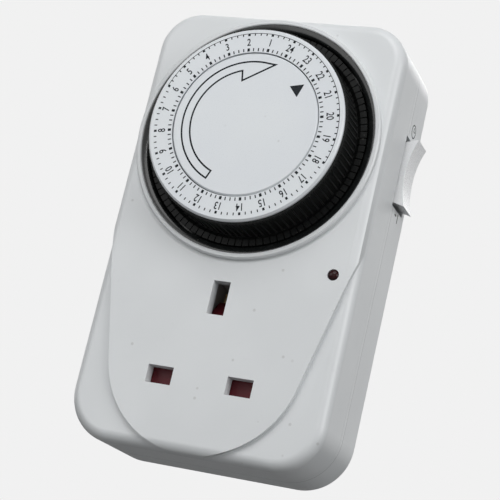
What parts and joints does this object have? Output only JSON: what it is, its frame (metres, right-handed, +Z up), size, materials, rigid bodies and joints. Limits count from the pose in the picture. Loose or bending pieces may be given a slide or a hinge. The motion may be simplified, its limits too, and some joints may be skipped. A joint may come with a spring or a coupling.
{
  "type": "plug in timer switch",
  "caption": "Mechanical plug in timer switch: a white case with a segment dial, a three pin outlet, plug pins and an override rocker.",
  "frame": {"origin": "on the wall plane, midway between the earth pin and the line and neutral pins", "axes": "+Z up as plugged in, +Y into the wall along the pins, +X to the right seen from the front"},
  "size_m": [0.0738, 0.062, 0.121],
  "materials": {
    "white_shell": "fine satin moulding",
    "white_dial": "satin white with black print",
    "black_moulding": "matt black moulding",
    "gloss_black": "glossy black moulding",
    "black_tappet": "satin black moulding",
    "brass": "bright brass",
    "plated_steel": "zinc plated",
    "carrier_moulding": "plain moulding",
    "red_moulding": "dark red moulding",
    "nylon": "natural nylon",
    "red_lens": "clear dark red moulding",
    "lamp_glass": "clear",
    "resistor_coat": "lacquer"
  },
  "bodies": {
    "housing": {"bezel_ring": "gloss_black", "case_screws": "plated_steel", "centre_disc": "white_dial", "chassis_plate": "black_moulding", "dial_spindle": "plated_steel", "earth_contact": "brass", "earth_pin": "brass", "front_shell": "white_shell", "gear_arbor": "plated_steel", "hub_washer": "plated_steel", "indicator_lens": "red_lens", "lamp_resistor": "resistor_coat", "lever_pin": "plated_steel", "line_contact": "brass", "line_feed_strap": "brass", "line_pin": "brass", "micro_switch": "black_moulding", "motor": "plated_steel", "neon_lamp": "lamp_glass", "neutral_contact": "brass", "neutral_pin": "brass", "pin_sleeves": "black_moulding", "rear_shell": "white_shell", "rocker_pin": "plated_steel", "shutter_spring": "plated_steel", "socket_carrier": "carrier_moulding"},
    "dial": {"number_ring": "white_dial", "dial_drum": "black_moulding", "tappet_carrier": "black_moulding"},
    "reduction_gear": {"reduction_gear": "nylon"},
    "motor_pinion": {"motor_pinion": "nylon"},
    "shutter": {"shutter": "red_moulding"},
    "rocker": {"rocker": "white_shell"},
    "override_slide": {"override_slide": "black_moulding"},
    "trip_lever": {"trip_lever": "nylon"},
    "switch_plunger": {"switch_plunger": "nylon"},
    "tappets_01": {"tappet_hour_01": "black_tappet"},
    "tappets_02": {"tappet_hour_02": "black_tappet"},
    "tappets_03": {"tappet_hour_03": "black_tappet"},
    "tappets_04": {"tappet_hour_04": "black_tappet"},
    "tappets_05": {"tappet_hour_05": "black_tappet"},
    "tappets_06": {"tappet_hour_06": "black_tappet"},
    "tappets_07": {"tappet_hour_07": "black_tappet"},
    "tappets_08": {"tappet_hour_08": "black_tappet"},
    "tappets_09": {"tappet_hour_09": "black_tappet"},
    "tappets_10": {"tappet_hour_10": "black_tappet"},
    "tappets_11": {"tappet_hour_11": "black_tappet"},
    "tappets_12": {"tappet_hour_12": "black_tappet"},
    "tappets_13": {"tappet_hour_13": "black_tappet"},
    "tappets_14": {"tappet_hour_14": "black_tappet"},
    "tappets_15": {"tappet_hour_15": "black_tappet"},
    "tappets_16": {"tappet_hour_16": "black_tappet"},
    "tappets_17": {"tappet_hour_17": "black_tappet"},
    "tappets_18": {"tappet_hour_18": "black_tappet"},
    "tappets_19": {"tappet_hour_19": "black_tappet"},
    "tappets_20": {"tappet_hour_20": "black_tappet"},
    "tappets_21": {"tappet_hour_21": "black_tappet"},
    "tappets_22": {"tappet_hour_22": "black_tappet"},
    "tappets_23": {"tappet_hour_23": "black_tappet"},
    "tappets_24": {"tappet_hour_24": "black_tappet"}
  },
  "joints": [
    {"name": "dial_turn", "type": "hinge", "parent": "housing", "child": "dial", "pos_m": [0, 0, 0.0335], "axis": [0, 1, 0], "continuous": true},
    {"name": "reduction_gear_turn", "type": "hinge", "parent": "housing", "child": "reduction_gear", "pos_m": [-0.01136, 0, 0.04972], "axis": [0, 1, 0], "continuous": true},
    {"name": "motor_pinion_turn", "type": "hinge", "parent": "housing", "child": "motor_pinion", "pos_m": [-0.01587, 0, 0.03541], "axis": [0, 1, 0], "continuous": true},
    {"name": "shutter_slide", "type": "slide", "parent": "housing", "child": "shutter", "axis": [0, 0, -1], "range_m": [0, 0.0056], "stiffness_N_per_m": 120, "springref_m": -0.003, "deforming": ["shutter_spring"]},
    {"name": "rocker_rock", "type": "hinge", "parent": "housing", "child": "rocker", "pos_m": [0.0314, 0, 0.0344], "axis": [0, 1, 0], "range_deg": [-8, 0]},
    {"name": "override_slide_move", "type": "slide", "parent": "housing", "child": "override_slide", "axis": [0, 0, 1], "range_m": [-0.00055, 0]},
    {"name": "trip_lever_tilt", "type": "hinge", "parent": "housing", "child": "trip_lever", "pos_m": [0.0208, -0.0148, 0.0259], "axis": [-1, 0, 0], "range_deg": [0, 3.3], "stiffness_Nm_per_rad": 0.002, "springref_deg": -17.19},
    {"name": "switch_plunger_press", "type": "slide", "parent": "housing", "child": "switch_plunger", "axis": [0, 1, 0], "range_m": [0, 0.0006]},
    {"name": "tappets_01_push", "type": "slide", "parent": "dial", "child": "tappets_01", "axis": [0, 1, 0], "range_m": [0, 0.003]},
    {"name": "tappets_02_push", "type": "slide", "parent": "dial", "child": "tappets_02", "axis": [0, 1, 0], "range_m": [0, 0.003]},
    {"name": "tappets_03_push", "type": "slide", "parent": "dial", "child": "tappets_03", "axis": [0, 1, 0], "range_m": [0, 0.003]},
    {"name": "tappets_04_push", "type": "slide", "parent": "dial", "child": "tappets_04", "axis": [0, 1, 0], "range_m": [0, 0.003]},
    {"name": "tappets_05_push", "type": "slide", "parent": "dial", "child": "tappets_05", "axis": [0, 1, 0], "range_m": [0, 0.003]},
    {"name": "tappets_06_push", "type": "slide", "parent": "dial", "child": "tappets_06", "axis": [0, 1, 0], "range_m": [0, 0.003]},
    {"name": "tappets_07_push", "type": "slide", "parent": "dial", "child": "tappets_07", "axis": [0, 1, 0], "range_m": [0, 0.003]},
    {"name": "tappets_08_push", "type": "slide", "parent": "dial", "child": "tappets_08", "axis": [0, 1, 0], "range_m": [0, 0.003]},
    {"name": "tappets_09_push", "type": "slide", "parent": "dial", "child": "tappets_09", "axis": [0, 1, 0], "range_m": [0, 0.003]},
    {"name": "tappets_10_push", "type": "slide", "parent": "dial", "child": "tappets_10", "axis": [0, 1, 0], "range_m": [0, 0.003]},
    {"name": "tappets_11_push", "type": "slide", "parent": "dial", "child": "tappets_11", "axis": [0, 1, 0], "range_m": [0, 0.003]},
    {"name": "tappets_12_push", "type": "slide", "parent": "dial", "child": "tappets_12", "axis": [0, 1, 0], "range_m": [0, 0.003]},
    {"name": "tappets_13_push", "type": "slide", "parent": "dial", "child": "tappets_13", "axis": [0, 1, 0], "range_m": [0, 0.003]},
    {"name": "tappets_14_push", "type": "slide", "parent": "dial", "child": "tappets_14", "axis": [0, 1, 0], "range_m": [0, 0.003]},
    {"name": "tappets_15_push", "type": "slide", "parent": "dial", "child": "tappets_15", "axis": [0, 1, 0], "range_m": [0, 0.003]},
    {"name": "tappets_16_push", "type": "slide", "parent": "dial", "child": "tappets_16", "axis": [0, 1, 0], "range_m": [0, 0.003]},
    {"name": "tappets_17_push", "type": "slide", "parent": "dial", "child": "tappets_17", "axis": [0, 1, 0], "range_m": [0, 0.003]},
    {"name": "tappets_18_push", "type": "slide", "parent": "dial", "child": "tappets_18", "axis": [0, 1, 0], "range_m": [0, 0.003]},
    {"name": "tappets_19_push", "type": "slide", "parent": "dial", "child": "tappets_19", "axis": [0, 1, 0], "range_m": [0, 0.003]},
    {"name": "tappets_20_push", "type": "slide", "parent": "dial", "child": "tappets_20", "axis": [0, 1, 0], "range_m": [0, 0.003]},
    {"name": "tappets_21_push", "type": "slide", "parent": "dial", "child": "tappets_21", "axis": [0, 1, 0], "range_m": [0, 0.003]},
    {"name": "tappets_22_push", "type": "slide", "parent": "dial", "child": "tappets_22", "axis": [0, 1, 0], "range_m": [0, 0.003]},
    {"name": "tappets_23_push", "type": "slide", "parent": "dial", "child": "tappets_23", "axis": [0, 1, 0], "range_m": [0, 0.003]},
    {"name": "tappets_24_push", "type": "slide", "parent": "dial", "child": "tappets_24", "axis": [0, 1, 0], "range_m": [0, 0.003]}
  ],
  "couplings": [
    {"joint": "reduction_gear_turn", "follows": "dial_turn", "ratio": 6.5},
    {"joint": "motor_pinion_turn", "follows": "dial_turn", "ratio": -26},
    {"joint": "rocker_rock", "follows": "override_slide_move", "rad_per_m": 238.1},
    {"joint": "switch_plunger_press", "follows": "trip_lever_tilt", "m_per_rad": 0.01}
  ]
}
